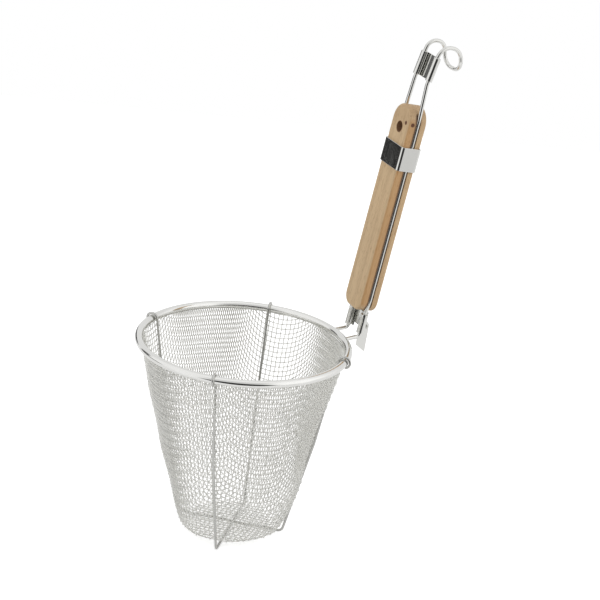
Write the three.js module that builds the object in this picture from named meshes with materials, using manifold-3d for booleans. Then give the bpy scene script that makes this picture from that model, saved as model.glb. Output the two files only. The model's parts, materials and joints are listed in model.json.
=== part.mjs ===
// A deep noodle strainer: a conical wire-mesh basket with a rolled rim, carried by one bent wire that
// makes the rim's core, both legs of the handle and the hanging hook. Two support wires cross under the
// basket, a sheet-metal pot hook and a clip hold the legs together, and a wooden grip lies between the
// legs, locked by a band that slides along it.
// Millimetres, +Z up, +X from the basket towards the handle. The model is laid out about the centre of
// the rim and then set so that its origin lies on the face of the pot hook that bears on a pot's wall.
import * as THREE from "three";
import { mergeVertices } from "three/addons/utils/BufferGeometryUtils.js";
import Module from "manifold-3d";

// Fits
const CLEARANCE = 0.3; // gap between pieces that touch
const BEND_STEP = THREE.MathUtils.degToRad(15); // turn between two points of a bend

// Rim
const RIM_DIAMETER = 152; // outside of the rolled rim
const RIM_SHEET = 0.7; // strip that is rolled round the rim's core wire
const RIM_SEGMENTS = 60;
const FRAME_WIRE = 2.8; // diameter of the wire of rim, legs and hook
const HEM_THICKNESS = 0.5; // edge of the mesh, held inside the rolled strip

// Basket
const BASKET_DEPTH = 138.6; // centre of the rim to the underside of the mesh
const BASE_RADIUS = 35.3; // where wall and bottom would meet without the rounded corner
const BASE_CORNER = 4; // radius of that corner
const WALL_BULGE = 1.2; // how far the wall stands out from a straight cone
const MESH_THICKNESS = 1;
const MESH_BAR = 1.6; // width of the lattice's bars
const MESH_COLUMNS = 30;
const MESH_ROWS = 12;
const MESH_TURN = 9; // degrees from the handle to a bar
const BOTTOM_RINGS = [22, 13, 5]; // radii of the lattice's rings on the flat bottom
const BOTTOM_GROUPS = [2, 3, 6]; // columns that share an opening in each of them

// Support wires
const SUPPORT_WIRE = 1.8;
const SUPPORT_BEND = 4;
const SUPPORT_ROW = 4; // row of openings where the wires come out through the wall
// Both ends of each wire: degrees from the handle at the rim and at the bottom, and how far the wire's
// bottom corner stands out from the basket's. The wires are bent by hand, so no two ends are alike.
const SUPPORT_A_ENDS = [
  { rim: 51.5, foot: 50.5, standoff: 7.9 },
  { rim: -129.5, foot: -125.5, standoff: 3.9 },
];
const SUPPORT_B_ENDS = [
  { rim: -41.5, foot: -32, standoff: 3.5 },
  { rim: 129, foot: 132.5, standoff: 4.1 },
];
const TAIL_ANGLE = -75; // end of the tail under the rim, round the rim's section

// Legs and hook
const HANDLE_LEAN = 10; // degrees from upright, away from the basket
const LEG_REACH = 8.6; // from the outside of the rim to the plane of the legs
const LEG_SPACING = 18.4; // between the legs at rim, pot hook and clip
const LEG_BEND = 3;
const LEG_RISE = 1.5; // how much higher than the rim's middle the legs bend up
const LEG_SWEEP = 20; // radius of the gentle bends beside the grip
const HOOK_LEAN = 7.1; // degrees that the legs lean out further above the grip
const HOOK_RISE = 27.8; // from that bend to the top of the hook
const HOOK_WIDTH = 15.2;
const HOOK_DROP = 15.7; // from the top of the hook to its tip
const HOOK_FLARE = 5; // how far the tip stands out
const HOOK_ROUND = 0.59; // its bends' radius as a share of its width
const HOOK_TWIST = 3; // how much narrower the hook is on its left side
const TIP_BEND = 8;

// Sheet-metal pot hook
const PLATE_SHEET = 1;
const PLATE_HEIGHT = 13.8;
const PLATE_NOTCH = 3; // height of the cut between the two sleeves
const CURL_ANGLE = 290; // how far a sleeve goes round its leg
const TONGUE_WIDTH = 12.4;
const TONGUE_STEP = 2.1; // from the web to the crest of the fold
const TONGUE_FOLD = 1;
const TONGUE_NECK = 6.7; // height of the part beside the web, below the crest
const TONGUE_JOG = 2.6; // height of the step outwards below that
const TONGUE_GAP = 4.9; // from the web to the bend above the straight part
const TONGUE_LENGTH = 20; // straight part, which bears on the pot
const TONGUE_SPLAY = 1.8;

// Wooden grip
const GRIP_WIDTH = 25;
const GRIP_THICKNESS = 13.5;
const GRIP_LENGTH = 150.6;
const GRIP_OFFSET = 0.5; // middle of the grip, towards the basket from the plane of the legs
const GRIP_END = 8; // radius of the corners seen from the front
const GRIP_ARRIS = 1.4; // rounding of the long edges
const GRIP_GAP = 0.6; // from the pot hook's fold to the grip
const WIRE_PROUD = 0.2; // how far the legs stand out of their grooves
const HANG_HOLE = 7.8;
const HANG_HOLE_PLACE = 16.4; // from the top of the grip

// Retaining band and clip
const BAND_SHEET = 0.8;
const BAND_HEIGHT = 16.9;
const BAND_CORNER = 2.4;
const BAND_PLACE = 27.8; // from the top of the grip to the top of the band
const CLIP_SHEET = 0.8;
const CLIP_HEIGHT = 17;
const CLIP_PLACE = 20.1; // from the top of the grip

// Sizes that follow
const frameRadius = FRAME_WIRE / 2;
const beadHollow = frameRadius + HEM_THICKNESS + 2 * CLEARANCE;
const beadRadius = beadHollow + RIM_SHEET;
const ringRadius = RIM_DIAMETER / 2 - beadRadius;
const hemOuter = ringRadius - frameRadius - CLEARANCE;
const supportRadius = SUPPORT_WIRE / 2;
const lean = THREE.MathUtils.degToRad(HANDLE_LEAN);
const hookLean = THREE.MathUtils.degToRad(HOOK_LEAN);
const legX = RIM_DIAMETER / 2 + LEG_REACH;
const legY = LEG_SPACING / 2;
const legStart = LEG_RISE / Math.cos(lean);
const plateBottom = legStart + LEG_BEND * Math.tan((Math.PI / 2 - lean) / 2) + CLEARANCE;
const plateTop = plateBottom + PLATE_HEIGHT;
const sleeveRadius = frameRadius + CLEARANCE + PLATE_SHEET / 2;
const foldTop = plateTop + TONGUE_FOLD;
const gripBottom = foldTop + PLATE_SHEET / 2 + GRIP_GAP;
const gripTop = gripBottom + GRIP_LENGTH;
const grooveY = GRIP_WIDTH / 2 - frameRadius + WIRE_PROUD;
const bandTop = gripTop - BAND_PLACE;
const hookStart = gripTop + CLIP_PLACE - LEG_SWEEP * Math.tan(hookLean);

const wasm = await Module();
wasm.setup();

const STEEL = { color: 0xc9c9c4, roughness: 0.25, metalness: 1 };
const MESH_STEEL = { color: 0xb9b9b4, roughness: 0.35, metalness: 1 };
const WOOD = { color: 0xbc9a70, roughness: 0.6, metalness: 0 };

function named(name, geometry, look) {
  const mesh = new THREE.Mesh(geometry, new THREE.MeshStandardMaterial(look));
  mesh.name = name;
  return mesh;
}

// Geometry to solid and back, for cuts and joins.
function solid(geometry) {
  const bare = new THREE.BufferGeometry();
  bare.setAttribute("position", geometry.getAttribute("position"));
  bare.setIndex(geometry.index);
  const merged = mergeVertices(bare, 1e-3);
  return new wasm.Manifold(
    new wasm.Mesh({
      numProp: 3,
      vertProperties: merged.attributes.position.array,
      triVerts: new Uint32Array(merged.index.array),
    }),
  );
}

function surface(manifold) {
  const { vertProperties, triVerts } = manifold.getMesh();
  const geometry = new THREE.BufferGeometry();
  geometry.setAttribute("position", new THREE.BufferAttribute(vertProperties, 3));
  geometry.setIndex(new THREE.BufferAttribute(triVerts, 1));
  return geometry;
}

// Points along bent wire or sheet: straight runs joined by arcs of each corner's bend radius.
function bentPath(corners) {
  const last = corners.length - 1;
  return corners.flatMap(({ at, bend }, i) => {
    if (i === 0 || i === last || !bend) return [at];
    const back = corners[i - 1].at.clone().sub(at).normalize();
    const ahead = corners[i + 1].at.clone().sub(at).normalize();
    const turn = Math.PI - back.angleTo(ahead);
    const middle = back.clone().add(ahead).normalize();
    const centre = at.clone().addScaledVector(middle, bend / Math.cos(turn / 2));
    const start = at.clone().addScaledVector(back, bend * Math.tan(turn / 2)).sub(centre);
    const axis = ahead.clone().cross(back).normalize().negate();
    const steps = Math.max(2, Math.ceil(turn / BEND_STEP));
    return Array.from({ length: steps + 1 }, (_, k) =>
      start.clone().applyAxisAngle(axis, -(turn * k) / steps).add(centre),
    );
  });
}

// A section of [across, up] points carried along a path, with closed ends.
function sweep(path, section, across) {
  const count = section.length;
  const tangents = path.map((p, i) => {
    const from = path[Math.max(i - 1, 0)];
    const to = path[Math.min(i + 1, path.length - 1)];
    const into = p.clone().sub(from).normalize();
    return into.add(to.clone().sub(p).normalize()).normalize();
  });
  const side = across.clone();
  const positions = [];
  path.forEach((p, i) => {
    if (i) side.applyQuaternion(new THREE.Quaternion().setFromUnitVectors(tangents[i - 1], tangents[i]));
    side.addScaledVector(tangents[i], -side.dot(tangents[i])).normalize();
    const up = tangents[i].clone().cross(side);
    for (const [u, v] of section) {
      positions.push(...p.clone().addScaledVector(side, u).addScaledVector(up, v).toArray());
    }
  });
  const index = [];
  for (let i = 0; i < path.length - 1; i++) {
    for (let k = 0; k < count; k++) {
      const a = i * count + k;
      const b = i * count + ((k + 1) % count);
      index.push(a, b, a + count, b, b + count, a + count);
    }
  }
  const far = (path.length - 1) * count;
  const cap = THREE.ShapeUtils.triangulateShape(section.map(([u, v]) => new THREE.Vector2(u, v)), []);
  for (const [a, b, c] of cap) {
    index.push(a, c, b, far + a, far + b, far + c);
  }
  const geometry = new THREE.BufferGeometry();
  geometry.setAttribute("position", new THREE.Float32BufferAttribute(positions, 3));
  geometry.setIndex(index);
  return geometry;
}

function roundSection(radius, sides) {
  return Array.from({ length: sides }, (_, k) => {
    const angle = (2 * Math.PI * (k + 0.5)) / sides;
    return [radius * Math.cos(angle), radius * Math.sin(angle)];
  });
}

// The closed outline of a sheet whose middle follows flat points.
function sheetSection(points, sheet) {
  const normals = points.map((p, i) => {
    const from = points[Math.max(i - 1, 0)];
    const to = points[Math.min(i + 1, points.length - 1)];
    const along = to.clone().sub(from).normalize();
    return new THREE.Vector2(-along.y, along.x).multiplyScalar(sheet / 2);
  });
  const left = points.map((p, i) => [p.x + normals[i].x, p.y + normals[i].y]);
  const right = points.map((p, i) => [p.x - normals[i].x, p.y - normals[i].y]);
  return [...right, ...left.reverse()];
}

// Basket: profile of the outside of the mesh, from the hem to the last ring of the bottom
function basketRings() {
  const top = new THREE.Vector2(hemOuter, -beadRadius - CLEARANCE);
  const foot = new THREE.Vector2(BASE_RADIUS, -BASKET_DEPTH);
  const chord = foot.clone().sub(top).normalize();
  const outward = new THREE.Vector2(-chord.y, chord.x);
  const control = top.clone().lerp(foot, 0.5).addScaledVector(outward, 2 * WALL_BULGE);
  const wall = new THREE.QuadraticBezierCurve(top, control, foot);
  const heading = foot.clone().sub(control).normalize();
  const turn = Math.acos(-heading.x);
  const reach = BASE_CORNER * Math.tan(turn / 2);
  const share = 1 - reach / wall.getLength();
  const rings = [{ at: new THREE.Vector2(hemOuter, 0), inner: HEM_THICKNESS }];
  for (let row = 0; row <= MESH_ROWS; row++) {
    const at = wall.getPointAt((share * row) / MESH_ROWS);
    rings.push({ at, inner: row ? MESH_THICKNESS : HEM_THICKNESS });
  }
  const centre = new THREE.Vector2(foot.x - reach, foot.y + BASE_CORNER);
  const middle = Math.PI / 2 - turn / 2;
  const bow = new THREE.Vector2(Math.cos(middle), -Math.sin(middle)).multiplyScalar(BASE_CORNER);
  rings.push({ at: centre.clone().add(bow), inner: MESH_THICKNESS });
  for (const radius of [centre.x, ...BOTTOM_RINGS]) {
    rings.push({ at: new THREE.Vector2(radius, foot.y), inner: MESH_THICKNESS });
  }
  return rings.map(({ at, inner }, i) => {
    const from = rings[Math.max(i - 1, 0)].at;
    const to = rings[Math.min(i + 1, rings.length - 1)].at;
    const along = i < 2 ? new THREE.Vector2(0, -1) : to.clone().sub(from).normalize();
    const out = at.y === foot.y ? new THREE.Vector2(0, -1) : new THREE.Vector2(-along.y, along.x);
    return { at, out, inside: at.clone().addScaledVector(out, -inner) };
  });
}

const rings = basketRings();
const wallRing = 1; // index of the ring below the hem
const cornerRing = wallRing + MESH_ROWS;
const columnTurn = (2 * Math.PI) / MESH_COLUMNS;

// Columns that share each opening of a row. Where a support wire comes through near a bar, the two
// openings beside that bar are one.
function columnGroups(row) {
  const starts = Array.from({ length: MESH_COLUMNS }, (_, i) => i);
  if (row !== SUPPORT_ROW) return starts.map((start) => ({ start, width: 1 }));
  const nearBar = new Set();
  for (const { rim } of [...SUPPORT_A_ENDS, ...SUPPORT_B_ENDS]) {
    const column = THREE.MathUtils.degToRad(rim - MESH_TURN) / columnTurn;
    const bar = Math.round(column);
    const away = Math.abs(column - bar) * columnTurn * rings[wallRing + row].at.x;
    if (away < MESH_BAR / 2 + supportRadius + 2 * CLEARANCE) {
      nearBar.add(THREE.MathUtils.euclideanModulo(bar, MESH_COLUMNS));
    }
  }
  const joined = (start) => nearBar.has((start + 1) % MESH_COLUMNS);
  return starts
    .filter((start) => !nearBar.has(start))
    .map((start) => ({ start, width: joined(start) ? 2 : 1 }));
}

// The mesh as a lattice of three-sided bars: flat outside, with an edge inside. Each opening has a frame
// on the outside and walls that slope to the edges inside.
function meshBasket() {
  const positions = [];
  const index = [];
  const point = (flat, column) => {
    const angle = THREE.MathUtils.degToRad(MESH_TURN) + column * columnTurn;
    return new THREE.Vector3(flat.x * Math.cos(angle), flat.x * Math.sin(angle), flat.y);
  };
  const vertex = (p) => positions.push(p.x, p.y, p.z) / 3 - 1;
  const columns = Array.from({ length: MESH_COLUMNS }, (_, i) => i);
  const outer = rings.map(({ at }) => columns.map((i) => vertex(point(at, i))));
  const inner = rings.map(({ inside }) => columns.map((i) => vertex(point(inside, i))));
  const at = (v) => new THREE.Vector3().fromArray(positions, 3 * v);
  const quad = (a, b, c, d) => index.push(a, b, c, a, c, d);

  function opening(fromRing, toRing, { start, width }) {
    const corners = [];
    for (let i = 0; i <= width; i++) corners.push([toRing, start + i]);
    for (let ring = toRing - 1; ring >= fromRing; ring--) corners.push([ring, start + width]);
    for (let i = width - 1; i >= 0; i--) corners.push([fromRing, start + i]);
    for (let ring = fromRing + 1; ring < toRing; ring++) corners.push([ring, start]);
    const outerLoop = corners.map(([ring, i]) => outer[ring][i % MESH_COLUMNS]);
    const innerLoop = corners.map(([ring, i]) => inner[ring][i % MESH_COLUMNS]);
    const count = corners.length;
    const edges = outerLoop.map((v, k) => at(outerLoop[(k + 1) % count]).sub(at(v)).normalize());
    const hole = outerLoop.map((v, k) => {
      const [ring, i] = corners[k];
      const out = point(rings[ring].out, i);
      const before = out.clone().cross(edges[(k + count - 1) % count]).normalize();
      const after = out.clone().cross(edges[k]).normalize();
      const shift = MESH_BAR / 2 / (1 + before.dot(after));
      return vertex(at(v).addScaledVector(before.add(after), shift));
    });
    for (let k = 0; k < count; k++) {
      const next = (k + 1) % count;
      quad(outerLoop[k], outerLoop[next], hole[next], hole[k]);
      quad(hole[k], hole[next], innerLoop[next], innerLoop[k]);
    }
  }

  for (let row = 0; row < MESH_ROWS; row++) {
    for (const group of columnGroups(row)) opening(wallRing + row, wallRing + row + 1, group);
  }
  for (const start of columns) opening(cornerRing, cornerRing + 2, { start, width: 1 });
  BOTTOM_GROUPS.forEach((width, k) => {
    const ring = cornerRing + 2 + k;
    for (let start = 0; start < MESH_COLUMNS; start += width) {
      opening(ring, ring + 1, { start, width: Math.min(width, MESH_COLUMNS - start) });
    }
  });
  const hub = rings.length - 1;
  for (const i of columns) {
    const j = (i + 1) % MESH_COLUMNS;
    quad(outer[wallRing][i], outer[wallRing][j], outer[0][j], outer[0][i]);
    quad(outer[0][i], outer[0][j], inner[0][j], inner[0][i]);
    quad(inner[0][i], inner[0][j], inner[wallRing][j], inner[wallRing][i]);
    if (i > 1) {
      index.push(outer[hub][0], outer[hub][i], outer[hub][i - 1]);
      index.push(inner[hub][0], inner[hub][i - 1], inner[hub][i]);
    }
  }
  const geometry = new THREE.BufferGeometry();
  geometry.setAttribute("position", new THREE.Float32BufferAttribute(positions, 3));
  geometry.setIndex(index);
  return named("mesh_basket", geometry, MESH_STEEL);
}

// A point of the handle: out from the plane of the legs, across it, and along the legs.
function onHandle(out, across, along) {
  return new THREE.Vector3(
    legX + along * Math.sin(lean) + out * Math.cos(lean),
    across,
    along * Math.cos(lean) - out * Math.sin(lean),
  );
}

// One wire, whose ends meet inside the rim opposite the handle
function framePath() {
  const hookTop = hookStart + HOOK_RISE;
  const crestIn = HOOK_RISE * Math.tan(hookLean);
  const legAngle = Math.asin(legY / ringRadius);
  const first = Math.PI - CLEARANCE / 2 / ringRadius;
  const end = legAngle + (2 * LEG_BEND) / ringRadius;
  const steps = Math.ceil(((first - end) / (2 * Math.PI)) * RIM_SEGMENTS);
  const side = (width) => {
    const half = [];
    for (let k = 0; k <= steps; k++) {
      const angle = first + ((end - first) * k) / steps;
      half.push({ at: new THREE.Vector3(ringRadius * Math.cos(angle), ringRadius * Math.sin(angle), 0) });
    }
    const crestOut = crestIn + width;
    const bend = HOOK_ROUND * width;
    half.push(
      { at: new THREE.Vector3(ringRadius * Math.cos(legAngle), legY, 0), bend: LEG_BEND },
      { at: onHandle(0, legY, legStart), bend: LEG_BEND },
      { at: onHandle(0, legY, plateTop + CLEARANCE), bend: LEG_SWEEP / 2 },
      { at: onHandle(0, grooveY, gripBottom + GRIP_END), bend: LEG_SWEEP },
      { at: onHandle(0, grooveY, gripTop - GRIP_END), bend: LEG_SWEEP },
      { at: onHandle(0, legY, hookStart), bend: LEG_SWEEP },
      { at: onHandle(crestIn, legY, hookTop), bend },
      { at: onHandle(crestOut, legY, hookTop), bend },
      { at: onHandle(crestOut + HOOK_FLARE, legY, hookTop - HOOK_DROP), bend: TIP_BEND },
    );
    return half;
  };
  const left = side(HOOK_WIDTH - HOOK_TWIST);
  const right = side(HOOK_WIDTH).map(({ at, bend }) => ({ at: at.clone().setY(-at.y), bend }));
  return bentPath([...left, ...right.reverse()]);
}

const frameLine = framePath();
const frameTube = (radius) => sweep(frameLine, roundSection(radius, 8), new THREE.Vector3(0, 0, 1));

function frameWire() {
  return named("frame_wire", frameTube(frameRadius), STEEL);
}

// A strip rolled round the core wire, open where the mesh goes in and notched where the legs come out
function rimBead() {
  const lipOut = Math.acos((hemOuter + CLEARANCE - ringRadius) / beadRadius);
  const lipOutHollow = Math.acos((hemOuter + CLEARANCE - ringRadius) / beadHollow);
  const lipIn = Math.acos(-beadHollow / beadRadius);
  const arc = (radius, from, to, steps) =>
    Array.from({ length: steps + 1 }, (_, k) => {
      const angle = from + ((to - from) * k) / steps;
      return new THREE.Vector2(ringRadius + radius * Math.cos(angle), radius * Math.sin(angle));
    });
  const outside = arc(beadRadius, -lipOut, 2 * Math.PI - lipIn, 13);
  const inside = arc(beadHollow, Math.PI, -lipOutHollow, 10);
  const section = [...outside, ...inside, outside[0]];
  const strip = new THREE.LatheGeometry(section, RIM_SEGMENTS).rotateX(Math.PI / 2);
  const legs = frameTube(frameRadius + CLEARANCE);
  return named("rim_bead", surface(solid(strip).subtract(solid(legs))), STEEL);
}

// A support wire: from a tail under the rim, over it and down inside the basket, out through an opening
// and down the outside to the bottom, then the same on the other side
function supportWire(name, ends, height) {
  const wrap = beadRadius + CLEARANCE + supportRadius;
  const upper = rings[wallRing + SUPPORT_ROW];
  const lower = rings[wallRing + SUPPORT_ROW + 1];
  const slack = supportRadius + 2 * CLEARANCE;
  const inside = upper.at.clone().addScaledVector(upper.out, -MESH_THICKNESS - slack - CLEARANCE);
  inside.y -= MESH_BAR / 2;
  const outside = lower.at.clone().addScaledVector(lower.out, slack);
  outside.y += MESH_BAR / 2;
  const fromRim = inside.clone().sub(new THREE.Vector2(ringRadius, 0));
  const leave = fromRim.angle() - Math.acos(wrap / fromRim.length());
  const tail = THREE.MathUtils.degToRad(TAIL_ANGLE);
  const steps = Math.ceil((leave - tail) / (2 * BEND_STEP));
  const corner = (degrees, r, z, bend) => {
    const angle = THREE.MathUtils.degToRad(degrees);
    return { at: new THREE.Vector3(r * Math.cos(angle), r * Math.sin(angle), z), bend };
  };
  const halves = ends.map(({ rim, foot, standoff }) => {
    const half = [];
    for (let k = 0; k <= steps; k++) {
      const turn = tail + ((leave - tail) * k) / steps;
      half.push(corner(rim, ringRadius + wrap * Math.cos(turn), wrap * Math.sin(turn)));
    }
    half.push(
      corner(rim, inside.x, inside.y, SUPPORT_BEND),
      corner(rim, outside.x, outside.y, SUPPORT_BEND),
      corner(foot, BASE_RADIUS + standoff, height, SUPPORT_BEND),
    );
    return half;
  });
  const path = bentPath([...halves[0], ...halves[1].reverse()]);
  const across = corner(ends[0].rim + 90, 1, 0).at;
  return named(name, sweep(path, roundSection(supportRadius, 8), across), STEEL);
}

// Section of a sheet that lies behind both legs and curls round them, as [across, out] points
function wrapSection(sheet) {
  const radius = frameRadius + CLEARANCE + sheet / 2;
  const steps = Math.ceil(THREE.MathUtils.degToRad(CURL_ANGLE) / (2 * BEND_STEP));
  const half = Array.from({ length: steps + 1 }, (_, k) => {
    const angle = THREE.MathUtils.degToRad(90 - (CURL_ANGLE * k) / steps);
    return new THREE.Vector2(legY + radius * Math.cos(angle), radius * Math.sin(angle));
  });
  const mirrored = half.map((p) => new THREE.Vector2(-p.x, p.y));
  return sheetSection([...mirrored.reverse(), ...half], sheet);
}

const acrossLegs = new THREE.Vector3(0, 1, 0);
const alongLegs = (from, to) => [new THREE.Vector3(0, 0, from), new THREE.Vector3(0, 0, to)];
// sweep() lays the second coordinate of a section towards the basket here, so it is turned round
const outward = (section) => section.map(([across, out]) => [across, -out]).reverse();

// Middle line of the pot hook's tongue, as flat [out, along] points from the web to the free end
function tongueLine() {
  const crest = sleeveRadius + TONGUE_STEP;
  const neck = foldTop - TONGUE_NECK;
  const knee = { out: sleeveRadius + TONGUE_GAP, along: neck - TONGUE_JOG };
  const corner = (out, along, bend) => ({ at: new THREE.Vector3(out, along, 0), bend });
  return bentPath([
    corner(sleeveRadius, plateTop - PLATE_SHEET),
    corner(sleeveRadius, foldTop, TONGUE_FOLD),
    corner(crest, foldTop, TONGUE_FOLD),
    corner(crest, neck, TONGUE_FOLD),
    corner(knee.out, knee.along, 2 * TONGUE_FOLD),
    corner(knee.out + TONGUE_SPLAY, knee.along - TONGUE_LENGTH),
  ]);
}

function potHookPlate() {
  const wrap = sweep(alongLegs(plateBottom, plateTop), outward(wrapSection(PLATE_SHEET)), acrossLegs);
  const profile = sheetSection(tongueLine().map((p) => new THREE.Vector2(p.x, p.y)), PLATE_SHEET);
  const half = TONGUE_WIDTH / 2;
  const width = [new THREE.Vector3(0, half, 0), new THREE.Vector3(0, -half, 0)];
  const tongue = sweep(width, profile, new THREE.Vector3(1, 0, 0));
  const notch = new THREE.BoxGeometry(4 * PLATE_SHEET, TONGUE_WIDTH, 2 * PLATE_NOTCH);
  notch.translate(sleeveRadius, 0, plateBottom);
  return named("pot_hook_plate", surface(solid(wrap).add(solid(tongue)).subtract(solid(notch))), STEEL);
}

// Flat outline with rounded corners, centred across and starting at a height
function roundedOutline(width, low, height, radius) {
  const x = width / 2;
  const shape = new THREE.Shape();
  shape.moveTo(-x + radius, low);
  shape.lineTo(x - radius, low);
  shape.absarc(x - radius, low + radius, radius, -Math.PI / 2, 0);
  shape.lineTo(x, low + height - radius);
  shape.absarc(x - radius, low + height - radius, radius, 0, Math.PI / 2);
  shape.lineTo(-x + radius, low + height);
  shape.absarc(-x + radius, low + height - radius, radius, Math.PI / 2, Math.PI);
  shape.lineTo(-x, low + radius);
  shape.absarc(-x + radius, low + radius, radius, Math.PI, 1.5 * Math.PI);
  return shape;
}

// A flat wooden bar with rounded ends, a groove along each narrow side and a hole to hang it by
function woodenGrip() {
  const shape = roundedOutline(
    GRIP_WIDTH - 2 * GRIP_ARRIS,
    gripBottom + GRIP_ARRIS,
    GRIP_LENGTH - 2 * GRIP_ARRIS,
    GRIP_END - GRIP_ARRIS,
  );
  const bar = new THREE.ExtrudeGeometry(shape, {
    depth: GRIP_THICKNESS - 2 * GRIP_ARRIS,
    bevelThickness: GRIP_ARRIS,
    bevelSize: GRIP_ARRIS,
    bevelSegments: 3,
    curveSegments: 6,
  });
  bar.translate(0, 0, GRIP_ARRIS - GRIP_THICKNESS / 2 - GRIP_OFFSET);
  bar.rotateX(Math.PI / 2).rotateZ(Math.PI / 2);
  let wood = solid(bar);
  const groove = frameRadius + CLEARANCE;
  const toHandle = new THREE.Matrix4().makeRotationY(lean).setPosition(legX, 0, 0).invert();
  const besideGrip = frameLine.map((p) => p.clone().applyMatrix4(toHandle));
  for (const sign of [1, -1]) {
    const leg = besideGrip.filter((p) => sign * p.y > 0 && p.z > plateBottom && p.z < hookStart);
    const path = leg.sort((a, b) => a.z - b.z);
    const bottom = roundSection(groove, 8).filter(([u]) => u < 0);
    const open = GRIP_WIDTH / 2;
    const section = [[0, groove], ...bottom, [0, -groove], [open, -groove], [open, groove]];
    wood = wood.subtract(solid(sweep(path, section, new THREE.Vector3(0, sign, 0))));
  }
  const hole = new THREE.CylinderGeometry(HANG_HOLE / 2, HANG_HOLE / 2, 2 * GRIP_THICKNESS, 20);
  hole.rotateZ(Math.PI / 2).translate(-GRIP_OFFSET, 0, gripTop - HANG_HOLE_PLACE);
  return named("wooden_grip", surface(wood.subtract(solid(hole))), WOOD);
}

// A band of sheet bent round grip and legs
function retainingBand() {
  const inWidth = 2 * (Math.max(GRIP_WIDTH / 2, grooveY + frameRadius) + CLEARANCE);
  const inDepth = GRIP_THICKNESS + 2 * CLEARANCE;
  const wide = 2 * BAND_SHEET;
  const shape = roundedOutline(inWidth + wide, -inDepth / 2 - BAND_SHEET, inDepth + wide, BAND_CORNER);
  shape.holes.push(roundedOutline(inWidth, -inDepth / 2, inDepth, BAND_CORNER - BAND_SHEET));
  const band = new THREE.ExtrudeGeometry(shape, {
    depth: BAND_HEIGHT,
    bevelEnabled: false,
    curveSegments: 4,
  });
  const mesh = named("retaining_band", band.rotateZ(Math.PI / 2), STEEL);
  mesh.position.set(-GRIP_OFFSET, 0, bandTop - BAND_HEIGHT);
  return mesh;
}

// A clip that keeps the two wires together below the hook
function hookClip() {
  const from = (gripTop + CLIP_PLACE - hookStart) / Math.cos(hookLean);
  const path = alongLegs(from, from + CLIP_HEIGHT);
  const clip = named("hook_clip", sweep(path, outward(wrapSection(CLIP_SHEET)), acrossLegs), STEEL);
  clip.position.set(0, 0, hookStart);
  clip.rotation.y = hookLean;
  return clip;
}

// Assembly
const handle = new THREE.Group();
handle.position.x = legX;
handle.rotation.y = lean;
handle.add(potHookPlate(), woodenGrip(), retainingBand(), hookClip());

const bottomWireB = -BASKET_DEPTH - CLEARANCE - supportRadius;
const bottomWireA = bottomWireB - SUPPORT_WIRE - CLEARANCE;
const strainer = new THREE.Group();
strainer.add(
  frameWire(),
  rimBead(),
  meshBasket(),
  supportWire("support_wire_a", SUPPORT_A_ENDS, bottomWireA),
  supportWire("support_wire_b", SUPPORT_B_ENDS, bottomWireB),
  handle,
);

// The origin: middle of the tongue's straight inner face
const [tongueEnd, tongueKnee] = tongueLine().reverse();
const tongueMiddle = tongueEnd.clone().lerp(tongueKnee, 0.5);
const downTongue = tongueEnd.clone().sub(tongueKnee).normalize();
const towardsPot = new THREE.Vector3(downTongue.y, -downTongue.x, 0);
const bearing = tongueMiddle.addScaledVector(towardsPot, PLATE_SHEET / 2);
strainer.position.copy(onHandle(bearing.x, 0, bearing.y)).negate();

const part = new THREE.Group();
part.add(strainer);
export default part;
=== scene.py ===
"""A deep noodle strainer: a woven basket in a rolled rim, on a bent wire handle with a wooden grip."""

import json
import math

import bpy
import numpy as np
from mathutils import Matrix, Vector


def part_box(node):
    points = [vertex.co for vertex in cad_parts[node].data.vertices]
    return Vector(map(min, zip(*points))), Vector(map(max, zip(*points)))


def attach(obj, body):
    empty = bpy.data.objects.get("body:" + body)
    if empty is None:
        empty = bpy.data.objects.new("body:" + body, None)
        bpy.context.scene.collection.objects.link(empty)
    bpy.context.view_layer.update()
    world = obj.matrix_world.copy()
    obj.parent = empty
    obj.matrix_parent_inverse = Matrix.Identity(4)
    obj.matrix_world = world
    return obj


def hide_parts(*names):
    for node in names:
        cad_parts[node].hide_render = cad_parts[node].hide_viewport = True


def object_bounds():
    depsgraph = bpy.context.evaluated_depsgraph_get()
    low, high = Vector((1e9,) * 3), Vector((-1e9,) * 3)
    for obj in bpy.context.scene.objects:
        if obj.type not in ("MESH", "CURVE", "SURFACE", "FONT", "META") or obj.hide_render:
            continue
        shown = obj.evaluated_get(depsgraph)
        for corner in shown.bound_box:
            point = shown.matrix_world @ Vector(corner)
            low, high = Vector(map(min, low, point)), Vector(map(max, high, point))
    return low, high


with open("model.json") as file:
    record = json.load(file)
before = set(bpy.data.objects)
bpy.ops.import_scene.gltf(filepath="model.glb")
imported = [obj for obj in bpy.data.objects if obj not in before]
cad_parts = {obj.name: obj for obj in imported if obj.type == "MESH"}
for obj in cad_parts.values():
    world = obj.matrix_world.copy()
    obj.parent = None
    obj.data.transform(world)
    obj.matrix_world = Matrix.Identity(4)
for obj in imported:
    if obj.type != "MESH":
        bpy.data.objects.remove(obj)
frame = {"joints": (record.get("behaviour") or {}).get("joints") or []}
cad_low, cad_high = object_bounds()

MM = 0.001
X, Y, Z = np.eye(3)

# Sizes of the wires and sheets
CLEARANCE = 0.3 * MM
FRAME_WIRE = 2.8 * MM
SUPPORT_WIRE = 1.8 * MM
RIM_SHEET = 0.55 * MM
HEM_THICKNESS = 0.5 * MM
PLATE_SHEET = 1.0 * MM
BAND_SHEET = 0.8 * MM
CLIP_SHEET = 0.8 * MM
SOFT_EDGE = 0.18 * MM  # rounding of the cut edges of sheet
CUT_EDGE = math.radians(40)  # edges sharper than this are rounded
SHARP_EDGE = math.radians(35)  # edges sharper than this aren't shaded smooth

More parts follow.
